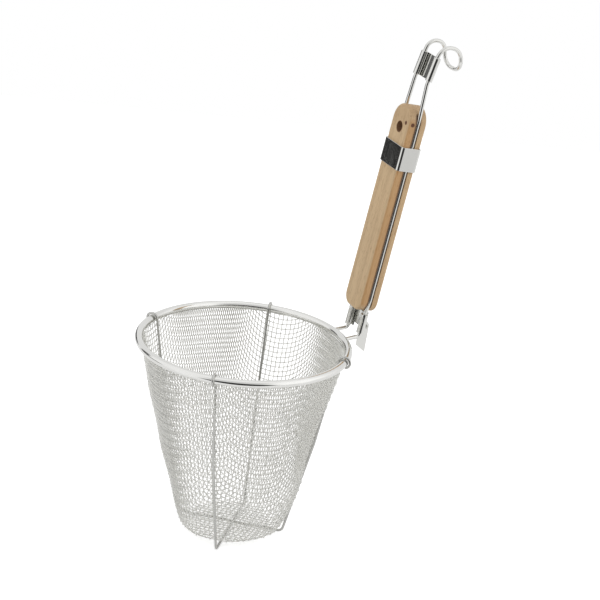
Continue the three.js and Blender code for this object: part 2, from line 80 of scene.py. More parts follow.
# Basket
RIM_RADIUS = 76 * MM
BASKET_DEPTH = 138.6 * MM
BASE_RADIUS = 35.3 * MM
BASE_CORNER = 4 * MM
WALL_BULGE = 1.2 * MM
PROFILE_STEPS = 60  # points along the bottom, and along its corner
HEM_LENGTH = 70 * MM  # run above the wall, on which the net is laid before it is cut
MESH_PITCH = 3.5 * MM
MESH_EASE = 4.2  # crossings over which the drawing spread each change of the weave
MESH_SPREAD = (-0.025, 0.0125, -0.03)  # how far it moved the wall's weave aside, as waves round the wall
MESH_WIRE = 0.64 * MM
MESH_SIDES = 6  # sides of each wire of the mesh, shaded round
MESH_SHARP_EDGE = math.radians(75)
MESH_CRIMP = (0.95, 0.1)  # how far the wires of each family weave in and out, in wire thicknesses
MESH_TURN = math.radians(45)  # from the handle to the wires that run straight up the wall
MESH_TOP = 0.3 * MM  # height above the rim's middle at which the mesh is cut
RIPPLE = 0.3 * MM  # unevenness of the drawn wall
RIPPLE_FADE = (40 * MM, 25 * MM)  # run over which it fades towards the bottom's middle and the rim
PRESSED_TURN = math.radians(-32)  # where the wall bulges against a support wire
PRESSED_WIDTH = 0.5
PRESSED_OUT = 3.6 * MM
PRESSED_TOP = 0.4  # share of the depth at which the bulge starts
PRESSED_SAG = 1.8  # above 1 the bulge is fullest below its middle

# Support wires: degrees from the handle at the rim and at the foot, and how far the foot stands out
SUPPORT_A = ((51.5, 50.5, 7.9 * MM), (-129.5, -125.5, 3.9 * MM))
SUPPORT_B = ((-41.5, -32.0, 3.5 * MM), (129.0, 132.5, 4.1 * MM))
SUPPORT_BEND = 4 * MM
SUPPORT_OUTSIDE = 65 * MM  # depth at which a wire has come out through the mesh
TAIL_ANGLE = math.radians(-75)

# Legs and hook
LEG_REACH = 8.6 * MM
LEG_SPACING = 18.4 * MM
LEG_BEND = 3 * MM
LEG_RISE = 1.5 * MM
LEG_SWEEP = 20 * MM
HOOK_LEAN = math.radians(7.1)
HOOK_RISE = 27.8 * MM
HOOK_WIDTH = 15.2 * MM
HOOK_DROP = 15.7 * MM
HOOK_FLARE = 5 * MM
HOOK_ROUND = 0.59  # its bends' radius as a share of its width
HOOK_TWIST = 3 * MM
TIP_BEND = 8 * MM

# Pot hook
PLATE_HEIGHT = 13.8 * MM
PLATE_NOTCH = 3 * MM
CURL_ANGLE = math.radians(290)
TONGUE_WIDTH = 12.4 * MM
TONGUE_STEP = 2.1 * MM
TONGUE_FOLD = 1 * MM
TONGUE_NECK = 6.7 * MM
TONGUE_JOG = 2.6 * MM
TONGUE_GAP = 4.9 * MM
TONGUE_LENGTH = 20 * MM
TONGUE_SPLAY = 1.8 * MM

# Grip, band and clip
GRIP_WIDTH = 25 * MM
GRIP_THICKNESS = 13.5 * MM
GRIP_LENGTH = 150.6 * MM
GRIP_OFFSET = 0.5 * MM
GRIP_END = 8 * MM
GRIP_END_TOP = 12.4 * MM
GRIP_ARRIS = 1.4 * MM
GRIP_GAP = 0.6 * MM
WIRE_PROUD = 0.2 * MM
HANG_HOLE = 7.8 * MM
HANG_HOLE_PLACE = 16.4 * MM
BAND_HEIGHT = 16.9 * MM
BAND_CORNER = 2.4 * MM
BAND_PLACE = 27.8 * MM
CLIP_HEIGHT = 17 * MM
CLIP_CURL = math.radians(308)
CLIP_PLACE = 20.1 * MM

# Camera, as fitted to the photograph: place about the rim's centre, pitch, roll and turn of the handle
CAMERA_PLACE = (0.0361, -1.6819, 0.6748)
CAMERA_PITCH = math.radians(20.80)
CAMERA_ROLL = math.radians(-5.49)
HANDLE_TURN = math.radians(26.686)
CAMERA_LENS = 156
CAMERA_SENSOR = 36

# Floor: how far it reaches from the rim's centre as the camera sees it, and its light
FLOOR_FRONT = 0.2
FLOOR_BACK = 1.0
FLOOR_SIDE = 1.2
FLOOR_GAP = 0.2 * MM
FLOOR_GREY = 0.9
FLOOR_GLOW = 0.48  # makes the floor plain white to the camera
MIRRORED_GLOW = 0.2  # share of that glow which metal shows

# Surroundings: their light in front and behind, and parts of them that are darker or brighter, as
# degrees to the right of the camera and up, half their width and height, and their share of the light
STUDIO_FRONT = 0.97
STUDIO_BACK = 0.66
STUDIO_CHANGE = (0.2, 0.9)  # from where to where the light changes, as shares of the way to the back
MIRRORED_LIGHT = 0.82  # least light outside those parts, as metal shows it
ZONE_EDGE = (0.75, 1.25)  # where a part's soft edge starts and ends, as shares of its half width
STUDIO_ZONES = (
    (0, -4, 38, 26, 0.04),
    (0, 42, 42, 26, 0.75),
    (-117, 5, 8, 20, 0.15),
    (-121, -7, 7, 7, 0.22),
    (-149, -3, 14, 13, 0.03),
    (62, 20, 35, 38, 1.15),
    (55, -20, 14, 8, 0.72),
    (-99, -6, 13, 9, 0.15),
)

# Sizes that follow
rim_low, rim_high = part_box("rim_bead")
rim_centre = (rim_low + rim_high) / 2
frame_radius = FRAME_WIRE / 2
support_radius = SUPPORT_WIRE / 2
bead_hollow = frame_radius + HEM_THICKNESS + CLEARANCE
bead_radius = bead_hollow + RIM_SHEET
ring_radius = RIM_RADIUS - bead_radius
hem_outer = ring_radius - frame_radius - CLEARANCE
slide = Vector(frame["joints"][0]["axis"])
lean = math.atan2(slide.x, slide.z)
leg_x = RIM_RADIUS + LEG_REACH
leg_y = LEG_SPACING / 2
leg_start = LEG_RISE / math.cos(lean)
plate_bottom = leg_start + LEG_BEND * math.tan((math.pi / 2 - lean) / 2) + CLEARANCE
plate_top = plate_bottom + PLATE_HEIGHT
sleeve_radius = frame_radius + CLEARANCE + PLATE_SHEET / 2
fold_top = plate_top + TONGUE_FOLD
grip_bottom = fold_top + PLATE_SHEET / 2 + GRIP_GAP
grip_top = grip_bottom + GRIP_LENGTH
groove_y = GRIP_WIDTH / 2 - frame_radius + WIRE_PROUD
groove_radius = frame_radius + CLEARANCE
hole_z = grip_top - HANG_HOLE_PLACE
band_top = grip_top - BAND_PLACE
hook_start = grip_top + CLIP_PLACE - LEG_SWEEP * math.tan(HOOK_LEAN)

rim_frame = Matrix.Translation(rim_centre)
handle_frame = Matrix.Translation(rim_centre + Vector((leg_x, 0, 0))) @ Matrix.Rotation(lean, 4, "Y")


# Mesh building
def unit(vectors):
    return vectors / np.linalg.norm(vectors, axis=-1, keepdims=True)


def run_along(points):
    """Distance from the first point of a line to each of its points."""
    return np.concatenate([[0], np.cumsum(np.linalg.norm(np.diff(points, axis=0), axis=1))])


def shade(mesh, sharp=SHARP_EDGE):
    """Smooth shading, but for the edges sharper than an angle."""
    mesh.shade_smooth()
    mesh.set_sharp_from_angle(angle=sharp)


def piece(name, vertices, faces, material, sharp=SHARP_EDGE, places=None):
    """A new object with smooth shading up to an angle, and a texture map where places are given."""
    mesh = bpy.data.meshes.new(name)
    mesh.from_pydata(np.asarray(vertices).tolist(), [], [list(f) for f in faces])
    mesh.materials.append(material)
    if places is not None:
        corner = np.empty(len(mesh.loops), int)
        mesh.loops.foreach_get("vertex_index", corner)
        layer = mesh.uv_layers.new(name="along_and_around")
        layer.data.foreach_set("uv", np.asarray(places)[corner].ravel())
    shade(mesh, sharp)
    made = bpy.data.objects.new(name, mesh)
    bpy.context.scene.collection.objects.link(made)
    return made


def settle(made):
    """Applies an object's modifiers and sets its smooth shading again, unless they set it."""
    shown = made.evaluated_get(bpy.context.evaluated_depsgraph_get())
    mesh = bpy.data.meshes.new_from_object(shown)
    made.modifiers.clear()
    made.data = mesh
    if not mesh.has_custom_normals:
        shade(mesh)


def combine(made, other, operation):
    """Cuts another object from this one, or joins it to this one, and removes the other."""
    step = made.modifiers.new(operation, "BOOLEAN")
    step.operation = operation
    step.solver = "EXACT"
    step.object = other
    settle(made)
    bpy.data.objects.remove(other)


def soften(made):
    """Rounds the sharp edges of an object."""
    step = made.modifiers.new("soft_edges", "BEVEL")
    step.width = SOFT_EDGE
    step.segments = 2
    step.limit_method = "ANGLE"
    step.angle_limit = CUT_EDGE
    flats = made.modifiers.new("flat_faces", "WEIGHTED_NORMAL")
    flats.keep_sharp = True
    settle(made)


def seat(made, node, body, placed):
    """Puts a piece in its place, on its body, instead of a CAD node."""
    made.matrix_world = placed
    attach(made, body)
    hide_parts(node)


# Wire and sheet forms
def bent_path(corners, step=math.radians(6)):
    """Points along bent wire or sheet: straight runs joined by arcs of each corner's bend radius."""
    points = []
    for i, (at, bend) in enumerate(corners):
        if not bend or i in (0, len(corners) - 1):
            points.append(at)
            continue
        back = unit(corners[i - 1][0] - at)
        ahead = unit(corners[i + 1][0] - at)
        turn = math.pi - math.acos(np.clip(back @ ahead, -1, 1))
        middle = unit(back + ahead)
        centre = at + middle * bend / math.cos(turn / 2)
        start = at + back * bend * math.tan(turn / 2) - centre
        across = unit(-back - start / bend * (-back @ start / bend))
        count = max(3, math.ceil(turn / step))
        for angle in np.linspace(0, turn, count + 1):
            points.append(centre + start * math.cos(angle) + across * bend * math.sin(angle))
    return np.array(points)


def carried_sides(path, across):
    """The sideways direction at each point of a path, carried along without twisting."""
    tangents = unit(np.gradient(path, axis=0))
    side = np.array(across, float)
    sides = []
    for tangent in tangents:
        side = unit(side - tangent * (side @ tangent))
        sides.append(side)
    return np.array(sides)


def tube_rings(path, sides, radius, count):
    """A ring of points round each point of a path."""
    tangents = unit(np.gradient(path, axis=0))
    sides = unit(sides - tangents * np.sum(sides * tangents, axis=1, keepdims=True))
    ups = np.cross(tangents, sides)
    angles = 2 * math.pi * (np.arange(count) + 0.5) / count
    ring = np.cos(angles)[None, :, None] * sides[:, None] + np.sin(angles)[None, :, None] * ups[:, None]
    return path[:, None] + radius * ring


def ring_quads(rings, count, first=0):
    """Faces between one ring and the next."""
    here = np.arange(count)
    ahead = (here + 1) % count
    start = first + count * np.arange(rings - 1)[:, None]
    corners = [start + here, start + ahead, start + ahead + count, start + here + count]
    return np.stack(corners, -1).reshape(-1, 4)


def closed_faces(rings, count, first=0):
    """Faces between one ring and the next, and a flat face at each end."""
    last = first + count * (rings - 1)
    ends = [list(range(first, first + count))[::-1], list(range(last, last + count))]
    return ring_quads(rings, count, first).tolist() + ends


def wire(name, path, radius, across, material, count=16):
    """A round wire along a path, with closed ends."""
    rings = tube_rings(path, carried_sides(path, across), radius, count)
    around = np.abs(np.linspace(-1, 1, count))
    places = np.stack(np.broadcast_arrays(run_along(path)[:, None], radius * around[None]), -1)
    faces = closed_faces(len(path), count)
    return piece(name, rings.reshape(-1, 3), faces, material, places=places.reshape(-1, 2))


def stacked(name, loops, material):
    """A closed body through loops of as many points each, with flat ends."""
    return piece(name, np.concatenate(loops), closed_faces(len(loops), len(loops[0])), material)


def raised(outline, height):
    """A flat outline's points at a height."""
    return np.c_[outline, np.full(len(outline), height)]


def sheet_outline(points, sheet):
    """The closed outline of a sheet whose middle follows flat points."""
    along = unit(np.gradient(points, axis=0))
    normal = np.stack([-along[:, 1], along[:, 0]], -1) * sheet / 2
    return np.concatenate([points - normal, (points + normal)[::-1]])


def extruded_sheet(name, outline, low, high, axes, material):
    """A sheet's outline, on the first two axes, carried along the third."""
    count = len(outline)
    flat = outline[:, :1] * axes[0] + outline[:, 1:] * axes[1]
    vertices = np.concatenate([flat + low * axes[2], flat + high * axes[2]])
    faces = ring_quads(2, count).tolist()
    half = count // 2
    for i in range(half - 1):
        cap = [i, i + 1, count - 2 - i, count - 1 - i]
        faces.append(cap[::-1])
        faces.append([count + v for v in cap])
    return piece(name, vertices, faces, material)


def wrap_outline(sheet, curl, steps=30):
    """Section of a sheet that lies behind both legs and curls round them, as (across, out) points."""
    radius = frame_radius + CLEARANCE + sheet / 2
    angles = math.pi / 2 - np.linspace(0, curl, steps + 1)
    half = np.stack([leg_y + radius * np.cos(angles), radius * np.sin(angles)], -1)
    web = np.linspace(-leg_y, leg_y, 8)[1:-1]
    middle = np.stack([web, np.full_like(web, radius)], -1)
    return sheet_outline(np.concatenate([half[::-1] * (-1, 1), middle, half]), sheet)


def rounded_outline(width, height, low_radius, steps=12, high_radius=None):
    """A rectangle with round corners about the origin, anticlockwise. The upper two may be rounder."""
    points = []
    for quarter, (x, y) in enumerate(((1, 1), (-1, 1), (-1, -1), (1, -1))):
        radius = high_radius if high_radius and y > 0 else low_radius
        angles = quarter * math.pi / 2 + np.linspace(0, math.pi / 2, steps + 1)
        centre = np.array((x * (width / 2 - radius), y * (height / 2 - radius)))
        points.append(centre + radius * np.stack([np.cos(angles), np.sin(angles)], -1))
    return np.concatenate(points)


# Materials
class Nodes:
    """A tree of nodes, with short calls to add and join them."""

    def __init__(self, tree):
        self.nodes = tree.nodes
        self.links = tree.links

    def add(self, kind, inputs=(), **settings):
        made = self.nodes.new("ShaderNode" + kind)
        for key, value in settings.items():
            setattr(made, key, value)
        for socket, value in dict(inputs).items():
            if isinstance(value, bpy.types.NodeSocket):
                self.links.new(value, made.inputs[socket])
            else:
                made.inputs[socket].default_value = value
        return made

    def operate(self, operation, *values):
        return self.add("Math", enumerate(values), operation=operation).outputs[0]

    def plus(self, a, b):
        return self.operate("ADD", a, b)

    def times(self, a, b):
        return self.operate("MULTIPLY", a, b)

    def larger(self, a, b):
        return self.operate("MAXIMUM", a, b)

    def length(self, a, b):
        """Distance of a flat point from the middle."""
        point = self.add("CombineXYZ", {0: a, 1: b}).outputs[0]
        return self.add("VectorMath", {0: point}, operation="LENGTH").outputs["Value"]

    def between(self, value, low, high, to_low, to_high, kind="LINEAR"):
        """A value's range carried to another range, and held within it."""
        inputs = {0: value, 1: low, 2: high, 3: to_low, 4: to_high}
        return self.add("MapRange", inputs, interpolation_type=kind).outputs[0]

    def eased(self, value, low, high, to_low, to_high):
        """The same, with a soft start and end."""
        return self.between(value, low, high, to_low, to_high, "SMOOTHSTEP")

    def rays(self):
        """Whether the camera sees this, and whether metal or glass does."""
        ray = self.add("LightPath").outputs
        return ray["Is Camera Ray"], self.larger(ray["Is Glossy Ray"], ray["Is Transmission Ray"])


class Look(Nodes):
    """The nodes of a new material."""

    def __init__(self, name):
        self.material = bpy.data.materials.new(name)
        self.material.use_nodes = True
        super().__init__(self.material.node_tree)
        self.shader = self.nodes["Principled BSDF"]

    def places(self, scale, output="Object"):
        """Texture places, stretched by a scale along each axis."""
        given = self.add("TexCoord").outputs[output]
        return self.add("Mapping", {"Vector": given, "Scale": scale}).outputs["Vector"]

    def noise(self, places, scale, detail, rough):
        inputs = {"Vector": places, "Scale": scale, "Detail": detail, "Roughness": rough}
        return self.add("TexNoise", inputs).outputs["Fac"]

    def mix(self, factor, a, b):
        return self.add("Mix", {0: factor, 6: a, 7: b}, data_type="RGBA").outputs[2]

    def bump(self, height, strength, distance, over=()):
        inputs = {"Height": height, "Strength": strength, "Distance": distance, **dict(over)}
        return self.add("Bump", inputs).outputs["Normal"]

    def wear(self, socket, value):
        self.links.new(value, self.shader.inputs[socket])


def grey(level, warmth):
    """A grey that leans to yellow with its warmth."""
    return (level, level * (1 - 0.1 * warmth), level * (1 - warmth), 1)


def steel(name, level, warmth, rough, streaks, output, bump, metal=1.0, dents=0.0):
    """Bright steel: fine lines along the way it was drawn or rolled, faint smudges and shallow dents."""
    look = Look(name)
    look.shader.inputs["Metallic"].default_value = metal
    lines = look.noise(look.places(streaks, output), 1, 4, 0.6)
    place = look.places((1, 1, 1))
    smudges = look.noise(place, 60, 3, 0.5)
    clouds = look.noise(place, 14, 2, 0.5)
    hollows = look.noise(place, 130, 1, 0.5)
    tone = look.between(look.plus(smudges, clouds), 0.7, 1.3, 0, 1)
    look.wear("Base Color", look.mix(tone, grey(level * 0.94, warmth * 1.3), grey(level, warmth)))
    dull = look.between(smudges, 0.35, 0.75, rough * 0.85, rough * 1.3)
    uneven = look.between(lines, 0.3, 0.7, -0.03, 0.03)
    look.wear("Roughness", look.plus(dull, uneven))
    dented = look.bump(hollows, 1, dents)
    look.wear("Normal", look.bump(lines, bump, 0.02 * MM, {"Normal": dented}))
    return look.material


def wood_material():
    """Pale beech: soft bands, fine dashes along the grain, two pin knots, and painted shade in the hole,
    along the front of one narrow side and in the grooves.
    """
    look = Look("beech")
    light = (0.755, 0.55, 0.32, 1)
    blotched = (0.60, 0.415, 0.235, 1)
    brown = (0.43, 0.265, 0.135, 1)
    pore_brown = (0.34, 0.185, 0.085, 1)
    # Painted shade for the front half of one narrow side
    side_shade_brown = (0.55, 0.235, 0.04, 1)
    knot_brown = (0.105, 0.026, 0.004, 1)
    # Painted shade for the hole
    hole_shade_brown = (0.17, 0.055, 0.018, 1)
    # Painted shadow for the grooves
    painted_groove_shadow = (0.12, 0.052, 0.024, 1)
    given = look.add("TexCoord").outputs
    place = given["Object"]
    x, y, z = look.add("SeparateXYZ", {0: place}).outputs

    def distance_to(point, keep=(1, 1, 1)):
        flat = look.add("VectorMath", {0: place, 1: keep}, operation="MULTIPLY").outputs[0]
        return look.add("VectorMath", {0: flat, 1: point}, operation="DISTANCE").outputs["Value"]

    # Growth bands lie round an axis outside the bar, so that they show wide on its face
    pith_x, pith_y = -46 * MM, 30 * MM
    band_width = 6.5 * MM
    wander = look.noise(look.places((40, 40, 7)), 1, 2, 0.5)
    drift = look.between(wander, 0, 1, -5 * MM, 5 * MM)
    distance = look.length(look.plus(x, -pith_x), look.plus(look.plus(y, drift), -pith_y))
    rings = look.operate("FRACT", look.times(distance, 1 / band_width))
    streaks = look.noise(look.places((1300, 1300, 26)), 1, 5, 0.62)
    dashes = look.noise(look.places((1500, 1500, 190)), 1, 2, 0.5)
    blotch = look.noise(look.places((90, 90, 25)), 1, 3, 0.5)
    tone = look.mix(look.between(blotch, 0.32, 0.70, 0, 0.3), light, blotched)
    tone = look.mix(look.eased(rings, 0.3, 1.0, 0, 0.2), tone, brown)
    tone = look.mix(look.between(streaks, 0.46, 0.76, 0, 0.4), tone, brown)
    tone = look.mix(look.between(dashes, 0.58, 0.70, 0, 0.6), tone, pore_brown)

    # Painted shade: the front half of one narrow side, between its edge and the groove, is painted a
    # browner tone
    side = -GRIP_WIDTH / 2
    shaded_side = look.eased(y, side, side + 1.6 * MM, 0.5, 0)
    in_front = look.between(x, -1 * MM, 1 * MM, 1, 0.25)
    tone = look.mix(look.times(shaded_side, in_front), tone, side_shade_brown)

    # Handling has browned the upper end, and end grain is darker everywhere
    handled = look.eased(z, grip_top - 20 * MM, grip_top - 9 * MM, 0, 0.28)
    tone = look.mix(handled, tone, brown)
    facing_up = look.add("SeparateXYZ", {0: given["Normal"]}).outputs[2]
    end_grain = look.eased(look.operate("ABSOLUTE", facing_up), 0.3, 0.8, 0, 0.3)
    tone = look.mix(end_grain, tone, brown)

    # Two knots, then painted shade in and round the hole and painted shadow along the grooves beside the
    # wires
    front = -GRIP_OFFSET - GRIP_THICKNESS / 2
    knots = ((front, -7.2 * MM, grip_top - 11.6 * MM), (-4.5 * MM, side, grip_top - 11.5 * MM))
    for knot in knots:
        spot = look.eased(distance_to(knot), 1.1 * MM, 1.8 * MM, 0.95, 0)
        tone = look.mix(spot, tone, knot_brown)
    # Painted shade in the hole's bore and round its mouth
    hole = distance_to((0, 0, hole_z), (0, 1, 1))
    painted_hole_shade = look.eased(hole, HANG_HOLE / 2 - 0.1 * MM, HANG_HOLE / 2 + 0.5 * MM, 0.8, 0)
    tone = look.mix(painted_hole_shade, tone, hole_shade_brown)
    # Painted shadow along the grooves, beside the wires that lie in them
    aside = look.plus(look.operate("ABSOLUTE", y), -groove_y)
    from_wire = look.length(look.plus(x, GRIP_OFFSET), aside)
    groove_shade = look.eased(from_wire, groove_radius, groove_radius + 1.2 * MM, 0.85, 0)
    look.wear("Base Color", look.mix(groove_shade, tone, painted_groove_shadow))
    look.wear("Roughness", look.between(streaks, 0.3, 0.7, 0.48, 0.62))
    pores = look.plus(streaks, look.times(dashes, -0.5))
    look.wear("Normal", look.bump(pores, 0.25, 0.08 * MM))
    return look.material


along_wire = {"streaks": (60, 3000, 3000), "output": "UV", "bump": 0.01}
along_rim = {"streaks": (40, 3000, 3000), "output": "UV", "bump": 0.01}
along_mesh = {"streaks": (300, 300, 300), "output": "Object", "bump": 0.02}
along_sheet = {"streaks": (1500, 1500, 40), "output": "Object", "bump": 0.012}
wire_steel = steel("drawn_wire", level=0.78, warmth=0.035, rough=0.09, **along_wire)
rim_steel = steel("polished_rim", level=0.86, warmth=0.025, rough=0.09, **along_rim)
mesh_steel = steel("woven_wire", level=0.87, warmth=0.04, rough=0.27, metal=0.65, **along_mesh)
support_steel = steel("support_wire", level=0.59, warmth=0.035, rough=0.22, **along_wire)
sheet_steel = steel("rolled_sheet", level=0.79, warmth=0.035, rough=0.09, dents=0.1 * MM, **along_sheet)
beech = wood_material()


# Handle wire
def frame_path(ring_steps=130):
    """Middle of the one wire: rim, leg, hook, leg and rim again."""

    def on_handle(out, across, along):
        forward = leg_x + along * math.sin(lean) + out * math.cos(lean)
        return np.array((forward, across, along * math.cos(lean) - out * math.sin(lean)))

    hook_top = hook_start + HOOK_RISE
    crest_in = HOOK_RISE * math.tan(HOOK_LEAN)
    leg_angle = math.asin(leg_y / ring_radius)
    first = math.pi - CLEARANCE / 2 / ring_radius
    end = leg_angle + 2 * LEG_BEND / ring_radius

    def side(width):
        crest_out = crest_in + width
        bend = HOOK_ROUND * width
        angles = np.linspace(first, end, ring_steps)
        ring = [np.array((ring_radius * math.cos(a), ring_radius * math.sin(a), 0)) for a in angles]
        return [(at, 0) for at in ring] + [
            (np.array((ring_radius * math.cos(leg_angle), leg_y, 0)), LEG_BEND),
            (on_handle(0, leg_y, leg_start), LEG_BEND),
            (on_handle(0, leg_y, plate_top + CLEARANCE), LEG_SWEEP / 2),
            (on_handle(0, groove_y, grip_bottom + GRIP_END), LEG_SWEEP),
            (on_handle(0, groove_y, grip_top - GRIP_END), LEG_SWEEP),
            (on_handle(0, leg_y, hook_start), LEG_SWEEP),
            (on_handle(crest_in, leg_y, hook_top), bend),
            (on_handle(crest_out, leg_y, hook_top), bend),
            (on_handle(crest_out + HOOK_FLARE, leg_y, hook_top - HOOK_DROP), TIP_BEND),
        ]

    left = side(HOOK_WIDTH - HOOK_TWIST)
    right = [(at * (1, -1, 1), bend) for at, bend in side(HOOK_WIDTH)]
    return bent_path(left + right[::-1])


frame_line = frame_path()
handle_wire = wire("handle_wire", frame_line, frame_radius, Z, wire_steel)
seat(handle_wire, "frame_wire", "strainer", rim_frame)


# Rolled rim
def rolled_rim(segments=240):
    """A strip rolled round the wire, open where the mesh goes in and notched where the legs come out."""
    entry = hem_outer + CLEARANCE - ring_radius
    lip_out = math.acos(entry / bead_radius)
    lip_out_hollow = math.acos(entry / bead_hollow)
    lip_in = math.acos(-bead_hollow / bead_radius)

    def arc(radius, start, end, steps):
        angles = np.linspace(start, end, steps + 1)
        return np.stack([ring_radius + radius * np.cos(angles), radius * np.sin(angles)], -1)

    outside = arc(bead_radius, -lip_out, 2 * math.pi - lip_in, 40)
    inside = arc(bead_hollow, math.pi, -lip_out_hollow, 24)
    section = np.concatenate([outside, inside])
    count = len(section)
    turns = 2 * math.pi * np.arange(segments) / segments
    around = np.stack([np.cos(turns), np.sin(turns), np.zeros(segments)], -1)
    vertices = (section[None, :, :1] * around[:, None] + section[None, :, 1:] * Z).reshape(-1, 3)
    quads = ring_quads(segments + 1, count) % (segments * count)
    mirrored = np.abs(turns - math.pi) * ring_radius
    places = np.stack(np.broadcast_arrays(mirrored[:, None], run_along(section)[None]), -1)
    made = piece("rolled_rim", vertices, quads[:, ::-1], rim_steel, places=places.reshape(-1, 2))
    legs = wire("legs", frame_line, frame_radius + CLEARANCE, Z, rim_steel, 12)
    combine(made, legs, "DIFFERENCE")
    return made


seat(rolled_rim(), "rim_bead", "strainer", rim_frame)


# Woven basket
def basket_profile(samples=400):
    """Middle of the mesh from the centre of the bottom to the hem and beyond: run, radius and height."""
    inset = MESH_WIRE
    top = np.array((hem_outer - inset, -bead_radius - CLEARANCE))
    foot = np.array((BASE_RADIUS - inset, -BASKET_DEPTH + inset))
    chord = unit(foot - top)
    control = (top + foot) / 2 + 2 * WALL_BULGE * np.array((-chord[1], chord[0]))
    heading = unit(foot - control)
    turn = math.acos(-heading[0])
    reach = BASE_CORNER * math.tan(turn / 2)
    share = np.linspace(1 - reach / np.linalg.norm(foot - top), 0, samples)[:, None]
    wall = (1 - share) ** 2 * top + 2 * share * (1 - share) * control + share**2 * foot
    centre = np.array((foot[0] - reach, foot[1] + BASE_CORNER))
    angles = np.linspace(-math.pi / 2, turn - math.pi / 2, PROFILE_STEPS)
    corner = centre + BASE_CORNER * np.stack([np.cos(angles), np.sin(angles)], -1)
    bottom = np.stack([np.linspace(0, centre[0], PROFILE_STEPS), np.full(PROFILE_STEPS, foot[1])], -1)
    hem = top + np.linspace(0, HEM_LENGTH, 40)[1:, None] * np.array((0, 1))
    line = np.concatenate([bottom[:-1], corner[:-1], wall, hem])
    return run_along(line), line[:, 0], line[:, 1]


def draped_quarter(run, radius, height, limit, rounds=14):
    """Crossings of a net of equal sides laid over one quarter of the basket: run and turn of each.

    Two wires run straight up the wall, a quarter turn apart. Every other crossing lies one pitch from
    the two before it, and is moved there in a few rounds from a first guess."""
    count = math.ceil(limit / MESH_PITCH)
    runs = np.full((count, count), np.nan)
    turns = np.full((count, count), np.nan)
    steps = MESH_PITCH * np.arange(count)
    runs[:, 0] = steps
    turns[:, 0] = 0
    runs[0] = steps
    turns[0] = math.pi / 2

    def point(s, t):
        r = np.interp(s, run, radius)
        return np.stack([r * np.cos(t), r * np.sin(t), np.interp(s, run, height)], -1)

    small = 1e-3 * MM
    for diagonal in range(2, 2 * count - 1):
        i = np.arange(max(1, diagonal - count + 1), min(diagonal, count))
        j = diagonal - i
        near_i = point(runs[i - 1, j], turns[i - 1, j])
        near_j = point(runs[i, j - 1], turns[i, j - 1])
        behind = point(runs[i - 1, j - 1], turns[i - 1, j - 1])
        guess = near_i + near_j - behind
        s = runs[i - 1, j] + runs[i, j - 1] - runs[i - 1, j - 1]
        t = np.arctan2(guess[:, 1], guess[:, 0])
        for _ in range(rounds):
            at = point(s, t)
            along = (point(s + small, t) - at) / small
            around = np.stack([-at[:, 1], at[:, 0], np.zeros(len(at))], -1)
            gap_i = at - near_i
            gap_j = at - near_j
            miss_i = (np.sum(gap_i**2, 1) - MESH_PITCH**2) / 2
            miss_j = (np.sum(gap_j**2, 1) - MESH_PITCH**2) / 2
            a, b = np.sum(gap_i * along, 1), np.sum(gap_i * around, 1)
            c, d = np.sum(gap_j * along, 1), np.sum(gap_j * around, 1)
            scale = a * d - b * c
            s = s - (d * miss_i - b * miss_j) / scale
            t = t - (a * miss_j - c * miss_i) / scale
        good = s < limit
        runs[i, j] = np.where(good, s, np.nan)
        turns[i, j] = np.where(good, t, np.nan)
    return runs, turns


def eased_net(runs, turns):
    """The whole net from its quarter, with each change of the weave spread over the crossings near it.

    A crossing is a complex number, its run times the direction that it lies in from the middle."""
    count = len(runs)
    quarter = runs * np.exp(1j * turns)
    net = np.full((2 * count - 1, 2 * count - 1), np.nan, complex)
    for turn in range(4):
        net[count - 1 :, count - 1 :] = quarter * 1j**-turn
        net = np.rot90(net)
    net[count - 1, count - 1] = 0
    known = np.isfinite(net)
    total, weight = np.where(known, net, 0), known.astype(float)
    steps = np.arange(-math.ceil(3 * MESH_EASE), math.ceil(3 * MESH_EASE) + 1)
    bell = np.exp(-((steps / MESH_EASE) ** 2) / 2)
    for axis in (0, 1):
        total = np.apply_along_axis(np.convolve, axis, total, bell, "same")
        weight = np.apply_along_axis(np.convolve, axis, weight, bell, "same")
    eased = np.where(known, total / np.maximum(weight, 1e-9), np.nan)
    run, turn = np.abs(eased), np.angle(eased)
    up_wall = np.clip((run / BASE_RADIUS - 1) / 3, 0, 1)
    waves = (np.sin(4 * turn), np.sin(8 * turn), 1 - np.cos(4 * turn))
    aside = sum(share * wave for share, wave in zip(MESH_SPREAD, waves))
    return run, turn + up_wall * aside


